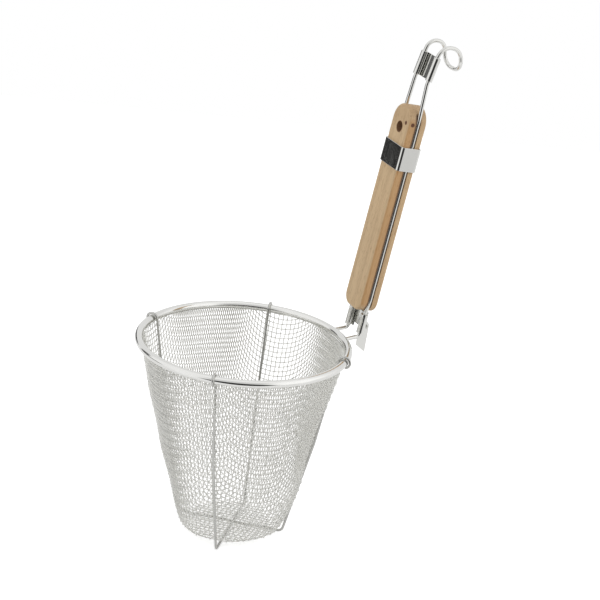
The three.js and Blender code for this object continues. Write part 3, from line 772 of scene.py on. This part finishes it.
def woven_basket():
    """Two families of wires that pass over and under each other along the draped net."""
    run, radius, height = basket_profile()
    upper = len(run) // 2
    limit = np.interp(MESH_TOP, height[upper:], run[upper:])
    spare = 3 * MESH_EASE * MESH_PITCH
    runs, turns = eased_net(*draped_quarter(run, radius, height, limit + spare))

    def profile_at(s):
        return np.interp(s, run, radius), np.interp(s, run, height)

    def lift(s, t, height_over):
        """Points over the basket's surface, with the surface's outward direction."""
        small = 0.2 * MM
        here_r, here_z = profile_at(s)
        ahead_r, ahead_z = profile_at(s + small)
        behind_r, behind_z = profile_at(s - small)
        slope_r = (ahead_r - behind_r) / (2 * small)
        slope_z = (ahead_z - behind_z) / (2 * small)
        turned = t + MESH_TURN
        flat = np.stack([np.cos(turned), np.sin(turned), np.zeros_like(t)], -1)
        outward = unit(slope_z[:, None] * flat - slope_r[:, None] * Z)
        place = here_r[:, None] * flat + here_z[:, None] * Z
        wide_waves = np.sin(3 * turned + 90 * s) * np.sin(55 * s)
        close_waves = np.sin(7 * turned - 130 * s)
        fade = np.clip((limit - s) / RIPPLE_FADE[1], 0, 1) * np.clip(s / RIPPLE_FADE[0], 0, 1)
        ripple = RIPPLE * (wide_waves + 0.6 * close_waves) * fade
        drop = np.clip(-here_z / BASKET_DEPTH - PRESSED_TOP, 0, 1 - PRESSED_TOP) / (1 - PRESSED_TOP)
        beside = np.angle(np.exp(1j * (turned - PRESSED_TURN))) / PRESSED_WIDTH
        pressed = PRESSED_OUT * np.sin(math.pi * drop**PRESSED_SAG) * np.exp(-(beside**2))
        over = height_over + ripple + pressed
        return place + over[:, None] * outward, outward

    def woven_path(s, t, height_over):
        """Middle of a wire through its crossings and halfway between them, with outward directions."""
        knots, outward = lift(s, t, height_over)
        flat, _ = lift(s, t, np.zeros_like(s))
        path = np.empty((2 * len(knots) - 1, 3))
        path[0::2] = knots
        path[1::2] = (flat[1:] + flat[:-1]) / 2
        out = np.empty_like(path)
        out[0::2] = outward
        out[1::2] = unit(outward[1:] + outward[:-1])
        return path, out

    for family, name in enumerate(("mesh_warp", "mesh_weft")):
        crimp = MESH_CRIMP[family]
        vertices, faces, total = [], [], 0
        for j in range(len(runs)):
            line = np.s_[:, j] if family == 0 else np.s_[j, :]
            steps = np.flatnonzero(np.nan_to_num(runs[line], nan=1) <= limit)
            if len(steps) < 3:
                continue
            over_or_under = np.where((steps + j + family) % 2 == 0, 1.0, -1.0) * MESH_WIRE * crimp
            path, out = woven_path(runs[line][steps], turns[line][steps], over_or_under)
            vertices.append(tube_rings(path, out, MESH_WIRE / 2, MESH_SIDES).reshape(-1, 3))
            faces += closed_faces(len(path), MESH_SIDES, total)
            total += MESH_SIDES * len(path)
        made = piece(name, np.concatenate(vertices), faces, mesh_steel, MESH_SHARP_EDGE)
        seat(made, "mesh_basket", "strainer", rim_frame)


woven_basket()


# Support wires
def support_wire(name, node, ends, depth):
    """From a tail under the rim over it, down inside, out through the mesh, under the bottom and back."""
    wrap = bead_radius + CLEARANCE + support_radius
    run, radius, height = basket_profile()
    slack = support_radius + MESH_WIRE + CLEARANCE
    outside_run = np.interp(-SUPPORT_OUTSIDE, height[PROFILE_STEPS:], run[PROFILE_STEPS:])
    outside = np.array((np.interp(outside_run, run, radius) + slack, -SUPPORT_OUTSIDE))
    from_rim = outside - (ring_radius, 0)
    leave = math.atan2(from_rim[1], from_rim[0]) % (2 * math.pi)
    leave -= math.acos(wrap / np.linalg.norm(from_rim))

    def corner(degrees, r, z, bend=0):
        angle = math.radians(degrees)
        return np.array((r * math.cos(angle), r * math.sin(angle), z)), bend

    halves = []
    for rim, foot, standoff in ends:
        angles = np.linspace(TAIL_ANGLE, leave, 28)
        half = [corner(rim, ring_radius + wrap * math.cos(a), wrap * math.sin(a)) for a in angles]
        half.append(corner(rim, *outside, SUPPORT_BEND))
        half.append(corner(foot, BASE_RADIUS + standoff, -depth, SUPPORT_BEND))
        halves.append(half)
    path = bent_path(halves[0] + halves[1][::-1])
    across = corner(ends[0][0] + 90, 1, 0)[0]
    made = wire(name, path, support_radius, across, support_steel, 14)
    seat(made, node, "strainer", rim_frame)


depth_b = BASKET_DEPTH + CLEARANCE + support_radius
depth_a = depth_b + SUPPORT_WIRE + CLEARANCE
support_wire("support_lower", "support_wire_a", SUPPORT_A, depth_a)
support_wire("support_upper", "support_wire_b", SUPPORT_B, depth_b)


# Pot hook
def pot_hook():
    """Two sleeves round the legs, with a tongue folded over from the web between them."""
    crest = sleeve_radius + TONGUE_STEP
    knee = sleeve_radius + TONGUE_GAP
    neck = fold_top - TONGUE_NECK
    knee_along = neck - TONGUE_JOG
    corners = (
        (sleeve_radius, plate_top - PLATE_SHEET, 0),
        (sleeve_radius, fold_top, TONGUE_FOLD),
        (crest, fold_top, TONGUE_FOLD),
        (crest, neck, TONGUE_FOLD),
        (knee, knee_along, 2 * TONGUE_FOLD),
        (knee + TONGUE_SPLAY, knee_along - TONGUE_LENGTH, 0),
    )
    line = bent_path([(np.array((out, along, 0)), bend) for out, along, bend in corners])[:, :2]
    sleeves = wrap_outline(PLATE_SHEET, CURL_ANGLE)
    made = extruded_sheet("pot_hook", sleeves, plate_bottom, plate_top, (-Y, X, Z), sheet_steel)
    tongue = sheet_outline(line, PLATE_SHEET)
    half = TONGUE_WIDTH / 2
    combine(made, extruded_sheet("tongue", tongue, -half, half, (X, Z, -Y), sheet_steel), "UNION")
    notch = rounded_outline(4 * PLATE_SHEET, TONGUE_WIDTH, PLATE_SHEET / 2, 6) + (sleeve_radius, 0)
    loops = [raised(notch, z) for z in (0, plate_bottom + PLATE_NOTCH)]
    combine(made, stacked("notch", loops, sheet_steel), "DIFFERENCE")
    soften(made)
    return made


seat(pot_hook(), "pot_hook_plate", "strainer", handle_frame)


# Wooden grip
def wooden_grip(hole_steps=48):
    """A flat bar with soft edges and round ends, a groove along each side and a hole."""
    middle = (grip_bottom + grip_top) / 2
    quarter = np.linspace(0, math.pi / 2, 9)
    loops = []
    for sign in (-1, 1):
        for angle in quarter if sign < 0 else quarter[::-1]:
            inset = GRIP_ARRIS * (1 - math.sin(angle))
            out = sign * (GRIP_THICKNESS / 2 - GRIP_ARRIS * (1 - math.cos(angle)))
            size = (GRIP_WIDTH - 2 * inset, GRIP_LENGTH - 2 * inset)
            flat = rounded_outline(*size, GRIP_END - inset, 16, GRIP_END_TOP - inset)
            loops.append(np.c_[np.full(len(flat), out - GRIP_OFFSET), flat[:, 0], flat[:, 1] + middle])
    made = stacked("wooden_grip_bar", loops, beech)

    # Each groove follows the leg that lies in it
    to_handle = np.array((rim_frame.inverted() @ handle_frame).inverted())
    line = frame_line @ to_handle[:3, :3].T + to_handle[:3, 3]
    angles = np.linspace(math.pi / 2, 1.5 * math.pi, 13)
    section = [(groove_radius * math.cos(a), groove_radius * math.sin(a)) for a in angles]
    section += [(GRIP_WIDTH / 2, -groove_radius), (GRIP_WIDTH / 2, groove_radius)]
    for sign in (1, -1):
        beside = line[(sign * line[:, 1] > 0) & (line[:, 2] > plate_bottom) & (line[:, 2] < hook_start)]
        beside = beside[np.argsort(beside[:, 2])]
        loop = np.array([u * sign * Y + v * sign * X for u, v in section])[::-1]
        combine(made, stacked("groove", [p + loop for p in beside], beech), "DIFFERENCE")
    turns = np.linspace(0, 2 * math.pi, hole_steps + 1)[:-1]
    ring = np.c_[np.zeros(hole_steps), np.cos(turns), np.sin(turns)] * HANG_HOLE / 2 + hole_z * Z
    combine(made, stacked("hole", [ring + x * GRIP_THICKNESS * X for x in (-1, 1)], beech), "DIFFERENCE")
    return made


seat(wooden_grip(), "wooden_grip", "strainer", handle_frame)


# Retaining band
def retaining_band():
    """A band of sheet bent round grip and legs."""
    width = 2 * (max(GRIP_WIDTH / 2, groove_y + frame_radius) + CLEARANCE)
    depth = GRIP_THICKNESS + 2 * CLEARANCE
    outer = rounded_outline(depth + 2 * BAND_SHEET, width + 2 * BAND_SHEET, BAND_CORNER)
    inner = rounded_outline(depth, width, BAND_CORNER - BAND_SHEET)
    low, high = band_top - BAND_HEIGHT, band_top
    loops = [raised(outer, low), raised(outer, high), raised(inner, high), raised(inner, low)]
    count = len(outer)
    quads = ring_quads(len(loops) + 1, count) % (len(loops) * count)
    made = piece("band", np.concatenate(loops) - GRIP_OFFSET * X, quads, sheet_steel)
    soften(made)
    return made


seat(retaining_band(), "retaining_band", "band", handle_frame)


# Clip below the hook
def hook_clip():
    """A sheet curled round both wires where they come together."""
    start = (grip_top + CLIP_PLACE - hook_start) / math.cos(HOOK_LEAN)
    outline = wrap_outline(CLIP_SHEET, CLIP_CURL)
    made = extruded_sheet("clip", outline, start, start + CLIP_HEIGHT, (-Y, X, Z), sheet_steel)
    soften(made)
    return made


clip_frame = handle_frame @ Matrix.Translation((0, 0, hook_start)) @ Matrix.Rotation(HOOK_LEAN, 4, "Y")
seat(hook_clip(), "hook_clip", "strainer", clip_frame)


# Studio: floor, light and camera
turned_back = Matrix.Rotation(-HANDLE_TURN, 3, "Z")


def floor():
    """A pale table top, plain white where nothing shades it."""
    look = Look("floor")
    look.nodes.remove(look.shader)
    paint = look.add("BsdfDiffuse", {"Color": (FLOOR_GREY, FLOOR_GREY, FLOOR_GREY, 1)})
    glow = look.add("Emission", {"Color": (1, 1, 1, 1), "Strength": FLOOR_GLOW})
    lit = look.add("AddShader", {0: paint.outputs[0], 1: glow.outputs[0]})
    by_camera, by_mirror = look.rays()
    seen = look.larger(by_camera, look.times(by_mirror, MIRRORED_GLOW))
    surface = look.add("MixShader", {0: seen, 1: paint.outputs[0], 2: lit.outputs[0]})
    look.links.new(surface.outputs[0], look.nodes["Material Output"].inputs[0])
    front = [(-FLOOR_SIDE, -FLOOR_FRONT), (FLOOR_SIDE, -FLOOR_FRONT)]
    back = [(FLOOR_SIDE, FLOOR_BACK), (-FLOOR_SIDE, FLOOR_BACK)]
    points = [turned_back @ Vector((x, y, 0)) + rim_centre for x, y in front + back]
    level = cad_low.z - FLOOR_GAP
    made = piece("floor", [(p.x, p.y, level) for p in points], [(0, 1, 2, 3)], look.material)


def studio_light():
    """Pale surroundings, duller behind, with a few darker and brighter parts that show in the metal."""
    world = bpy.data.worlds.new("studio")
    bpy.context.scene.world = world
    world.use_nodes = True
    studio = Nodes(world.node_tree)
    place = studio.add("TexCoord").outputs["Generated"]
    turned = studio.add("VectorRotate", {"Vector": place, "Angle": HANDLE_TURN}, rotation_type="Z_AXIS")
    right, away, up = studio.add("SeparateXYZ", {0: turned.outputs[0]}).outputs
    azimuth = studio.operate("ARCTAN2", right, studio.times(away, -1.0))
    elevation = studio.operate("ARCSINE", up)
    by_camera, by_mirror = studio.rays()
    light = studio.eased(away, *STUDIO_CHANGE, STUDIO_FRONT, STUDIO_BACK)
    light = studio.larger(light, studio.times(by_mirror, MIRRORED_LIGHT))
    for turn, rise, half_turn, half_rise, level in STUDIO_ZONES:
        across = studio.times(studio.plus(azimuth, -math.radians(turn)), 1 / math.radians(half_turn))
        upward = studio.times(studio.plus(elevation, -math.radians(rise)), 1 / math.radians(half_rise))
        zone = studio.eased(studio.length(across, upward), *ZONE_EDGE, level, 1.0)
        light = studio.times(light, zone)
    background = studio.nodes["Background"]
    background.inputs["Color"].default_value = (1, 1, 1, 1)
    studio.links.new(studio.larger(light, by_camera), background.inputs["Strength"])


def camera():
    """The photograph's view, pitched down, rolled and turned about the rim's centre."""
    pitch = np.array((0, math.cos(CAMERA_PITCH), -math.sin(CAMERA_PITCH)))
    down = np.cross(pitch, X)
    right = math.cos(CAMERA_ROLL) * X + math.sin(CAMERA_ROLL) * down
    below = -math.sin(CAMERA_ROLL) * X + math.cos(CAMERA_ROLL) * down
    axes = turned_back @ Matrix((right, -below, -pitch)).transposed()
    data = bpy.data.cameras.new("camera")
    data.lens = CAMERA_LENS
    data.sensor_width = CAMERA_SENSOR
    made = bpy.data.objects.new("camera", data)
    bpy.context.scene.collection.objects.link(made)
    place = rim_centre + turned_back @ Vector(CAMERA_PLACE)
    made.matrix_world = Matrix.Translation(place) @ axes.to_4x4()
    bpy.context.scene.camera = made


floor()
studio_light()
camera()
bpy.context.scene.view_settings.view_transform = "Standard"
